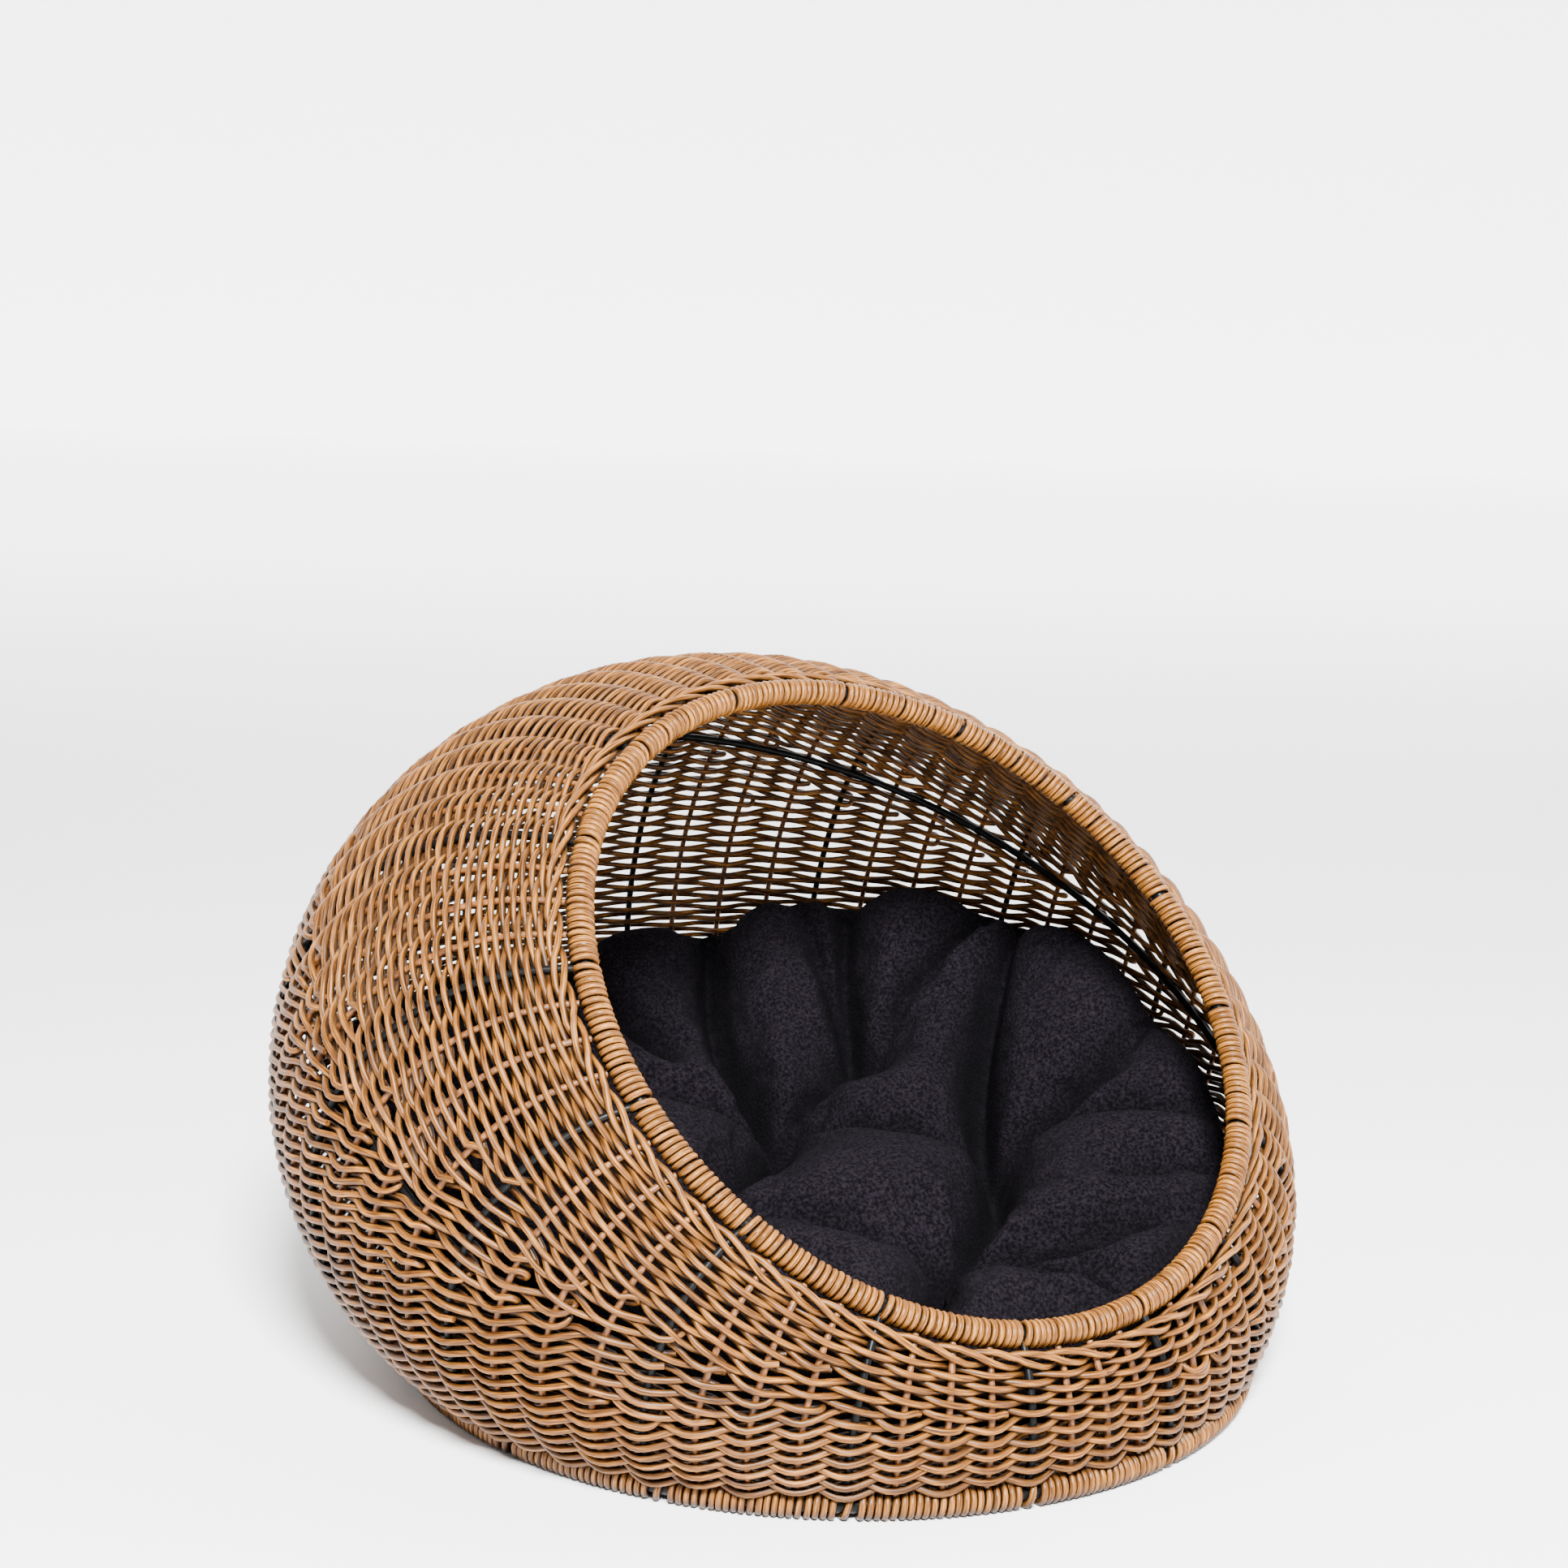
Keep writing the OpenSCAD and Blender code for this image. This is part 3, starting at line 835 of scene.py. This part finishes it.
def keep_clear(piece):
    """Moves the cushion's surface in where it would touch the wall or rim, at rest or lifted."""
    tree = wall_tree()
    middle = Vector((BASE_C[0], BASE_C[1], 0.12))
    points = mesh_points(piece.data)
    outer = np.nonzero(np.hypot(points[:, 0], points[:, 1] - BASE_C[1]) > 0.13)[0]
    for index in outer:
        p = Vector(points[index])
        for _ in range(3):
            for lift in (0.0, LIFT):
                q = p + Vector((0, 0, lift))
                hit, normal, _face, _gap = tree.find_nearest(q)
                if normal.dot(hit - middle) < 0:
                    normal = -normal
                inside = normal.dot(hit - q)
                if inside < NEAR_WALL:
                    p -= normal * (NEAR_WALL - inside)
                gap = from_rim(np.array(p) + (0, 0, lift))
                distance = np.linalg.norm(gap)
                if distance < NEAR_RIM:
                    p += Vector(gap / distance * (NEAR_RIM - distance))
        points[index] = p
    points[:, 2] = np.maximum(points[:, 2], CUSHION_LOW)
    piece.data.vertices.foreach_set("co", points.astype(np.float32).ravel())
    piece.data.update()


def add_cushion(material):
    verts, quads, caps, lines = cushion_start()
    piece = mesh_object("fleece_cushion", verts, quads, caps, material)
    remesh = piece.modifiers.new("remesh", "REMESH")
    remesh.mode = "VOXEL"
    remesh.voxel_size = CUSHION_GRID
    remesh.use_smooth_shade = True
    run_modifiers(piece)
    simulate(piece, lines)
    smooth = piece.modifiers.new("subdivision", "SUBSURF")
    smooth.levels = smooth.render_levels = 1
    run_modifiers(piece)
    carve(piece, lines)
    keep_clear(piece)
    piece.data.materials.clear()
    piece.data.materials.append(material)
    piece.data.polygons.foreach_set("use_smooth", np.ones(len(piece.data.polygons), bool))
    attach(piece, "cushion")
    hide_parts("cushion_top", "cushion_bottom", "cushion_filling", "tuft_ties")
    return piece


# ---- Materials ----


class Nodes:
    """Adds nodes to the tree of a material or a world."""

    def __init__(self, owner):
        owner.use_nodes = True
        self.tree = owner.node_tree

    def feed(self, node, **values):
        """Sets inputs by name, with _ for a space: to a value, or to another node's output."""
        for name, value in values.items():
            socket = node.inputs[name.replace("_", " ")]
            if isinstance(value, bpy.types.NodeSocket):
                self.tree.links.new(value, socket)
            else:
                socket.default_value = value
        return node

    def add(self, kind, **values):
        return self.feed(self.tree.nodes.new("ShaderNode" + kind), **values)

    def shade(self, **values):
        """Feeds the material's own shader."""
        self.feed(self.tree.nodes["Principled BSDF"], **values)

    def attribute(self, name):
        node = self.add("Attribute")
        node.attribute_name = name
        return node

    def noise(self, place, scale, detail=2, roughness=0.5):
        node = self.add("TexNoise", Vector=place, Scale=scale, Detail=detail, Roughness=roughness)
        return node.outputs["Fac"]

    def spread(self, value, low, high, start=0, end=1, smooth=False):
        """The value's range from start to end, spread from low to high."""
        node = self.add("MapRange", Value=value, From_Min=start, From_Max=end, To_Min=low, To_Max=high)
        if smooth:
            node.interpolation_type = "SMOOTHSTEP"
        return node.outputs["Result"]

    def ramp(self, value, *stops):
        """A colour for the value, through stops of (position, colour)."""
        node = self.add("ValToRGB", Fac=value)
        elements = node.color_ramp.elements
        for element, (position, colour) in zip(elements, (stops[0], stops[-1])):
            element.position, element.color = position, (*colour, 1)
        for position, colour in stops[1:-1]:
            elements.new(position).color = (*colour, 1)
        return node.outputs["Color"]

    def math(self, operation, one, other):
        node = self.add("Math")
        node.operation = operation
        self.tree.links.new(one, node.inputs[0])
        self.tree.links.new(other, node.inputs[1])
        return node.outputs[0]

    def toned(self, colour, value):
        """The colour made lighter or darker by a factor."""
        return self.add("HueSaturation", Color=colour, Value=value).outputs["Color"]

    def bump(self, height, strength, distance, **normal):
        node = self.add("Bump", Height=height, Strength=strength, Distance=distance, **normal)
        return node.outputs["Normal"]

    def painted_crevice_shade(self, reach, darkest):
        """Painted shade: a factor from ambient occlusion that falls from 1 in the open to `darkest` deep
        between surfaces, for darkening a colour.
        """
        near = self.add("AmbientOcclusion", Distance=reach)
        near.samples = 6
        return self.spread(near.outputs["AO"], darkest, 1, 0.32, 0.92)


def wicker(name, dark, mid, light, roughness):
    """Round resin wicker: fine streaks along the strand, and a shade of its own for each, with painted
    shade that darkens it deep between strands.
    """
    material = bpy.data.materials.new(name)
    nodes = Nodes(material)
    grain = nodes.attribute("grain").outputs["Vector"]
    stretched = nodes.add("Mapping", Vector=grain, Scale=(0.06, 1, 1)).outputs["Vector"]
    streaks = nodes.noise(stretched, 1500, detail=4)
    patches = nodes.noise(grain, 45)
    own = nodes.math("ADD", nodes.attribute("tint").outputs["Fac"], patches)
    # painted shade: ambient occlusion darkens the colour where strands crowd together
    value = nodes.math("MULTIPLY", nodes.spread(own, 0.55, 1.40, 0.3, 1.7), nodes.painted_crevice_shade(0.009, 0.16))
    colour = nodes.ramp(streaks, (0.30, dark), (0.50, mid), (0.72, light))
    nodes.shade(Base_Color=nodes.toned(colour, value),
                Roughness=nodes.spread(streaks, roughness - 0.06, roughness + 0.14),
                Specular_IOR_Level=0.25,
                Normal=nodes.bump(streaks, 0.35, 0.0002))
    return material


def stake_wicker(name, dark, mid, light):
    """The same wicker for the stakes, which have no strand coordinates of their own."""
    material = bpy.data.materials.new(name)
    nodes = Nodes(material)
    streaks = nodes.noise(nodes.add("TexCoord").outputs["Object"], 420, detail=4)
    nodes.shade(Base_Color=nodes.ramp(streaks, (0.28, dark), (0.50, mid), (0.75, light)),
                Roughness=nodes.spread(streaks, 0.38, 0.56),
                Normal=nodes.bump(streaks, 0.3, 0.0002))
    return material


def black_steel():
    """Black powder coat: a fine orange peel, worn a little in patches."""
    material = bpy.data.materials.new("black_steel")
    nodes = Nodes(material)
    place = nodes.add("TexCoord").outputs["Object"]
    peel = nodes.noise(place, 900, detail=3)
    patches = nodes.noise(place, 60)
    nodes.shade(Base_Color=nodes.ramp(patches, (0, (0.0015, 0.0015, 0.0018)), (1, (0.005, 0.005, 0.005))),
                Roughness=nodes.spread(patches, 0.32, 0.5),
                Specular_IOR_Level=0.12,
                Normal=nodes.bump(peel, 0.2, 0.0001))
    return material


def fleece_cloth():
    """Black fleece with a hint of purple: a pilled nap, with painted shade that darkens its folds."""
    material = bpy.data.materials.new("fleece")
    nodes = Nodes(material)
    place = nodes.add("TexCoord").outputs["Object"]
    pills = nodes.noise(place, 560, detail=3, roughness=0.6)
    fibres = nodes.noise(place, 2200)
    patches = nodes.noise(place, 22, detail=3)
    # painted shade: ambient occlusion darkens the colour in the folds and tufts
    value = nodes.math("MULTIPLY", nodes.spread(patches, 0.75, 1.3), nodes.painted_crevice_shade(0.04, 0.05))
    colour = nodes.ramp(pills, (0.40, (0.0005, 0.0004, 0.0006)), (0.68, (0.0092, 0.0070, 0.0100)))
    nodes.shade(Base_Color=nodes.toned(colour, value),
                Roughness=nodes.spread(pills, 0.86, 1.0),
                Specular_IOR_Level=0.02,
                Sheen_Weight=0.008,
                Sheen_Roughness=0.9,
                Sheen_Tint=(0.62, 0.56, 0.70, 1),
                Normal=nodes.bump(fibres, 0.5, 0.0003, Normal=nodes.bump(pills, 0.85, 0.0026)))
    return material


# ---- Build ----

cane = wicker("cane", (0.026, 0.0074, 0.0008), (0.125, 0.043, 0.0056), (0.39, 0.154, 0.022), 0.38)
cane_wrap = wicker("cane_wrap", (0.034, 0.0102, 0.0012), (0.150, 0.053, 0.0074), (0.42, 0.172, 0.028), 0.36)
cane_stake = stake_wicker("cane_stake", (0.030, 0.008, 0.001), (0.120, 0.038, 0.006), (0.28, 0.104, 0.020))
steel = black_steel()

low_tubes, high_tubes = weave_tubes()
add_tubes("woven_lower", low_tubes, cane, "weave_wicker", "lower_weave")
add_tubes("woven_upper", high_tubes, cane, "weave_wicker", "upper_weave")
add_tubes("wound_base", [wrap_tube(BASE_C, BASE_R, BASE_LEAN, BASE_GAP, True)], cane_wrap,
          "wrap_wicker", "base_wrap")
add_tubes("wound_rim", [wrap_tube(RIM_C, RIM_R, RIM_LEAN, RIM_GAP)], cane_wrap, "wrap_wicker", "rim_wrap")
add_tubes("twisted_border", [border_tube()], cane_wrap, "border_wicker", "rim_border")
add_tubes("woven_floor", floor_tubes(), cane, "weave_wicker", "floor_weave", sides=6)

add_cushion(fleece_cloth())

for node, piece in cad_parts.items():
    if node.startswith(("rib_", "base_ring", "rim_ring", "belly_hoop", "floor_bar")):
        piece.data.materials.clear()
        piece.data.materials.append(steel)
    if node.startswith("stakes_"):
        piece.data.materials.clear()
        piece.data.materials.append(cane_stake)

# ---- Stage, light and camera ----

VIEW_TURN = math.radians(35.83)
GLOW = 3.0


def backdrop_white():
    """White board that glows more the farther it is behind the basket."""
    material = bpy.data.materials.new("studio_white")
    nodes = Nodes(material)
    behind = nodes.add("VectorMath")
    behind.operation = "DOT_PRODUCT"
    behind.inputs[1].default_value = (math.sin(VIEW_TURN), math.cos(VIEW_TURN), 0)
    place = nodes.add("NewGeometry").outputs["Position"]
    nodes.tree.links.new(place, behind.inputs[0])
    glow = nodes.spread(behind.outputs["Value"], 0, GLOW, 0.2, 4.5, smooth=True)
    nodes.shade(Base_Color=(0.95, 0.95, 0.95, 1), Roughness=0.9,
                Emission_Color=(1, 1, 1, 1), Emission_Strength=glow)
    return material


def add_stage():
    """A floor, and a wall behind the basket as the camera sees it."""
    white = backdrop_white()
    for name, place, turn in (("studio_floor", (0, 0, 0), (0, 0, 0)),
                              ("studio_wall", (10 * math.sin(VIEW_TURN), 10 * math.cos(VIEW_TURN), 0),
                               (math.pi / 2, 0, -VIEW_TURN))):
        bpy.ops.mesh.primitive_plane_add(size=40, location=place, rotation=turn)
        board = bpy.context.object
        board.name = name
        board.data.materials.append(white)


def add_light(name, place, aim, size, power):
    data = bpy.data.lights.new(name, "AREA")
    data.shape = "DISK"
    data.size = size
    data.energy = power
    light = bpy.data.objects.new(name, data)
    light.location = place
    light.rotation_euler = (Vector(aim) - Vector(place)).to_track_quat("-Z", "Y").to_euler()
    bpy.context.scene.collection.objects.link(light)


def add_world():
    """Soft white light from all round, strongest near the horizon, where it meets the floor."""
    world = bpy.data.worlds.new("studio")
    nodes = Nodes(world)
    way = nodes.add("TexCoord").outputs["Generated"]
    height = nodes.add("SeparateXYZ", Vector=way).outputs["Z"]
    nodes.feed(world.node_tree.nodes["Background"], Color=(1, 1, 1, 1),
               Strength=nodes.spread(height, 0.85, 0.25, 0.08, 0.40, smooth=True))
    bpy.context.scene.world = world


def add_camera():
    """The camera looks up the basket's front left, from just above it, with a slight roll."""
    azimuth, elevation, roll = -VIEW_TURN, math.radians(9.62), math.radians(1.94)
    distance, across, up_by = 1.2987, -0.0295, 0.0794
    back = Vector((math.sin(azimuth) * math.cos(elevation),
                   -math.cos(azimuth) * math.cos(elevation), math.sin(elevation)))
    right = Vector((math.cos(azimuth), math.sin(azimuth), 0))
    up = back.cross(right)
    target = Vector((BASE_C[0], BASE_C[1], 0.2)) + across * right + up_by * up
    right, up = (right * math.cos(roll) + up * math.sin(roll),
                 up * math.cos(roll) - right * math.sin(roll))
    data = bpy.data.cameras.new("camera")
    data.lens = 61.12
    data.sensor_width = 36
    camera = bpy.data.objects.new("camera", data)
    camera.matrix_world = Matrix.Translation(target + distance * back) @ Matrix(
        (right, up, back)).transposed().to_4x4()
    bpy.context.scene.collection.objects.link(camera)
    bpy.context.scene.camera = camera


add_world()
add_stage()
add_light("key", (-0.9, -1.5, 1.9), (0, 0, 0.12), 0.7, 410)
add_light("fill", (1.6, -0.9, 1.1), (0, 0, 0.15), 1.0, 26)
add_camera()
